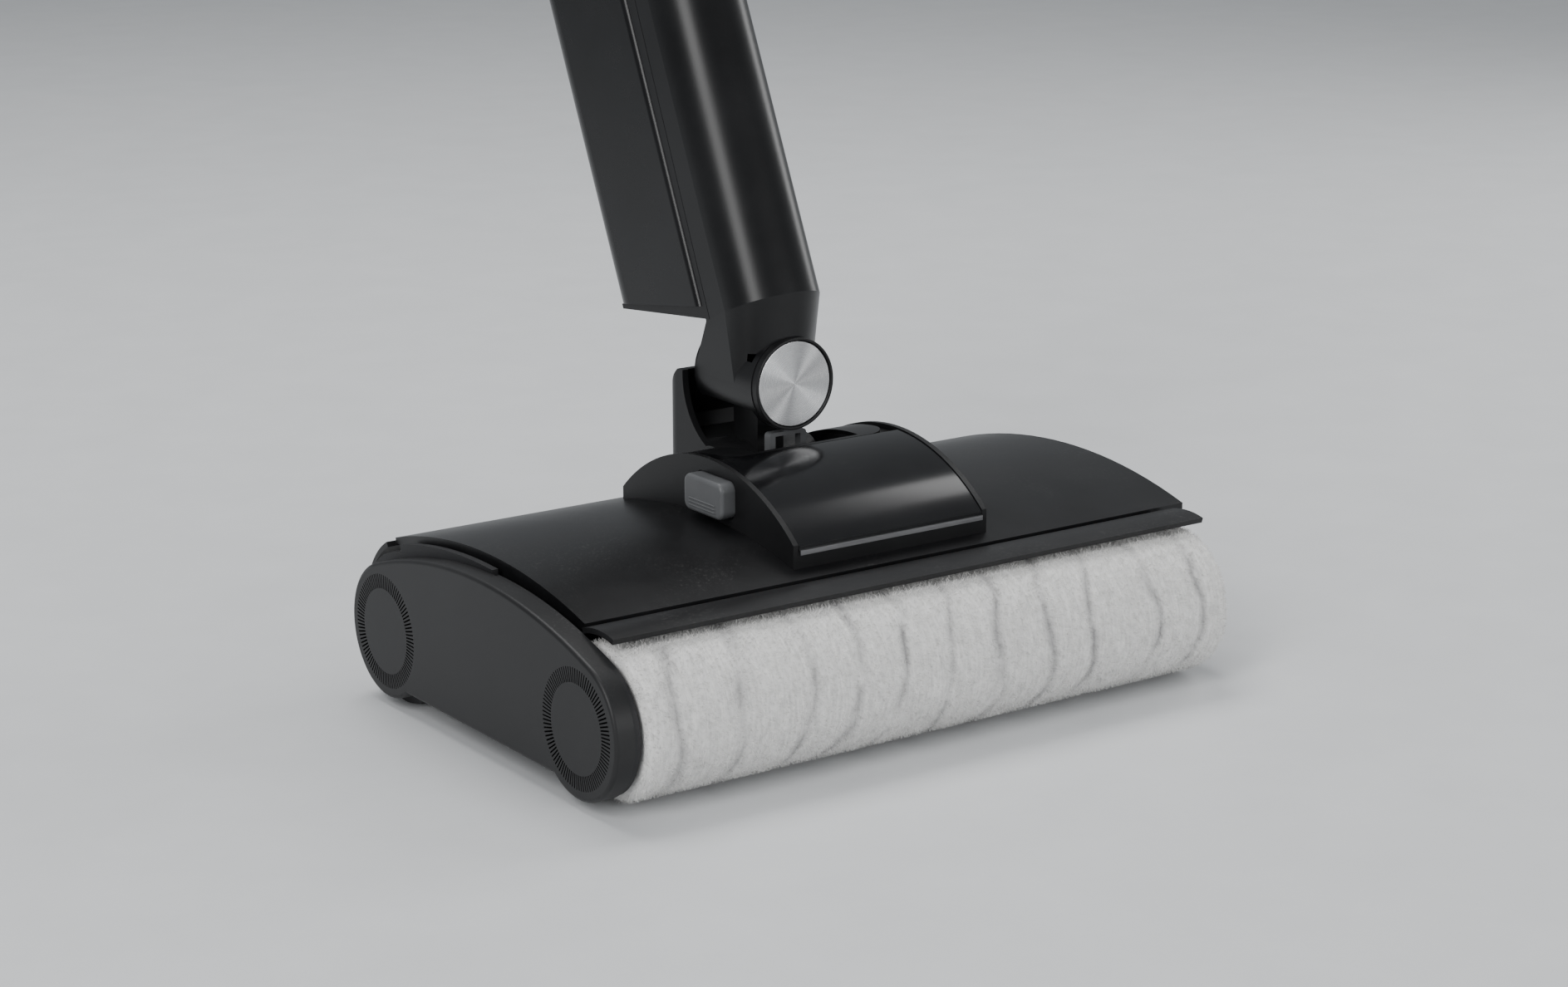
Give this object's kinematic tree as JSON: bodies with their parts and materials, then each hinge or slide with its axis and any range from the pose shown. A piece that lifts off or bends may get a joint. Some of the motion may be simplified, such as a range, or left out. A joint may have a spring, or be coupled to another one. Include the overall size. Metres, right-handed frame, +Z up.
{
  "type": "wet dry floor scrubber",
  "caption": "Cordless upright floor scrubber: flat head with front and rear microfibre rollers, tilting neck, slim leaning body with a rear water tank and a long handle.",
  "frame": {"origin": "centre of the bounding box on the floor plane", "axes": "+X to the object's left-to-right seen from the front, -Y is the front where the first roller is, +Z up; the body leans back toward +Y"},
  "size_m": [0.284, 0.5498, 1.0223],
  "materials": {
    "gloss_black": "gloss",
    "satin_black": "satin",
    "dark_plastic": "matte",
    "grey_plastic": "satin",
    "silver_trim": "satin",
    "spun_cap": "satin",
    "steel": "satin",
    "microfibre": "matte",
    "white_plastic": "matte",
    "rubber": "matte",
    "tank_smoke": "gloss",
    "lens": "gloss",
    "board_green": "satin",
    "battery_wrap": "satin",
    "bronze_bush": "satin",
    "tube_alu": "satin"
  },
  "bodies": {
    "body": {"front_shell": "gloss_black", "spine_shell": "satin_black", "pivot_ring": "satin_black", "pivot_cap": "spun_cap", "roll_pin": "steel", "battery_pack": "battery_wrap", "water_pump": "dark_plastic", "control_board": "board_green", "water_hose": "rubber", "top_collar": "tube_alu", "handle_tube": "tube_alu", "grip_left": "satin_black", "grip_right": "satin_black", "grip_screws": "steel", "status_lens": "lens"},
    "tank": {"tank": "tank_smoke"},
    "tank_cap": {"tank_cap": "tank_smoke"},
    "tank_latch": {"tank_latch": "grey_plastic"},
    "tube_lock": {"tube_lock_button": "grey_plastic"},
    "trigger": {"trigger": "grey_plastic"},
    "power_button": {"power_button": "grey_plastic"},
    "neck": {"neck_cradle": "satin_black", "neck_tongue": "grey_plastic", "trunnion_pin": "steel"},
    "head": {"base_chassis": "dark_plastic", "left_end_cover": "satin_black", "left_frame_plate": "dark_plastic", "right_end_cover": "satin_black", "right_end_bracket": "dark_plastic", "head_screws": "steel", "axle_bushes": "bronze_bush", "top_cover": "gloss_black", "front_lip": "satin_black", "rear_lip": "satin_black", "centre_housing": "satin_black", "centre_panel": "gloss_black", "panel_trim": "silver_trim", "neck_surround": "satin_black", "bearing_blocks": "dark_plastic", "drive_motor": "steel", "drive_belt": "rubber", "dirty_water_tray": "dark_plastic", "scraper_blades": "rubber", "spray_nozzles": "satin_black"},
    "front_roller": {"front_roller_sleeve": "microfibre", "front_roller_core": "white_plastic", "front_roller_drive_hub": "dark_plastic", "front_roller_pulley": "dark_plastic", "front_roller_idler_hub": "dark_plastic"},
    "rear_roller": {"rear_roller_sleeve": "microfibre", "rear_roller_core": "white_plastic", "rear_roller_drive_hub": "dark_plastic", "rear_roller_pulley": "dark_plastic", "rear_roller_idler_hub": "dark_plastic"},
    "motor_pulley": {"motor_pulley": "steel"},
    "left_release": {"left_release_button": "grey_plastic"},
    "right_release": {"right_release_button": "grey_plastic"}
  },
  "joints": [
    {"name": "neck_roll", "type": "hinge", "parent": "body", "child": "neck", "pos_m": [0.006, -0.14292, 0.113], "axis": [0, 1, 0], "range_deg": [-35, 35]},
    {"name": "head_pitch", "type": "hinge", "parent": "neck", "child": "head", "pos_m": [0.006, -0.14092, 0.075], "axis": [1, 0, 0], "range_deg": [-18, 35]},
    {"name": "front_roller_spin", "type": "hinge", "parent": "head", "child": "front_roller", "pos_m": [0.006, -0.24592, 0.029], "axis": [1, 0, 0], "continuous": true},
    {"name": "rear_roller_spin", "type": "hinge", "parent": "head", "child": "rear_roller", "pos_m": [0.006, -0.11192, 0.029], "axis": [1, 0, 0], "continuous": true},
    {"name": "motor_spin", "type": "hinge", "parent": "head", "child": "motor_pulley", "pos_m": [0.006, -0.17892, 0.042], "axis": [1, 0, 0], "continuous": true},
    {"name": "left_release_press", "type": "slide", "parent": "head", "child": "left_release", "axis": [1, 0, 0], "range_m": [0, 0.003], "stiffness_N_per_m": 600, "springref_m": -0.002},
    {"name": "right_release_press", "type": "slide", "parent": "head", "child": "right_release", "axis": [-1, 0, 0], "range_m": [0, 0.003], "stiffness_N_per_m": 600, "springref_m": -0.002},
    {"name": "tank_slide", "type": "slide", "parent": "body", "child": "tank", "axis": [0, 0.989, -0.1478], "range_m": [0, 0.07]},
    {"name": "tank_cap_hinge", "type": "hinge", "parent": "tank", "child": "tank_cap", "pos_m": [0.006, 0.02221, 0.32257], "axis": [-1, 0, 0], "range_deg": [0, 110]},
    {"name": "tank_latch_press", "type": "slide", "parent": "body", "child": "tank_latch", "axis": [0, -0.91, 0.4147], "range_m": [0, 0.002], "stiffness_N_per_m": 600, "springref_m": -0.002},
    {"name": "tube_lock_press", "type": "slide", "parent": "body", "child": "tube_lock", "axis": [0, 0.91, -0.4147], "range_m": [0, 0.002], "stiffness_N_per_m": 600, "springref_m": -0.002},
    {"name": "trigger_pull", "type": "hinge", "parent": "body", "child": "trigger", "pos_m": [0.006, 0.19595, 0.94013], "axis": [1, 0, 0], "range_deg": [0, 5], "stiffness_Nm_per_rad": 0.4, "springref_deg": -5.73},
    {"name": "power_press", "type": "slide", "parent": "body", "child": "power_button", "axis": [0, 0.91, -0.4147], "range_m": [0, 0.0012], "stiffness_N_per_m": 600, "springref_m": -0.002}
  ],
  "couplings": [
    {"joint": "rear_roller_spin", "follows": "front_roller_spin", "ratio": 1},
    {"joint": "motor_spin", "follows": "front_roller_spin", "ratio": 2.2857}
  ]
}
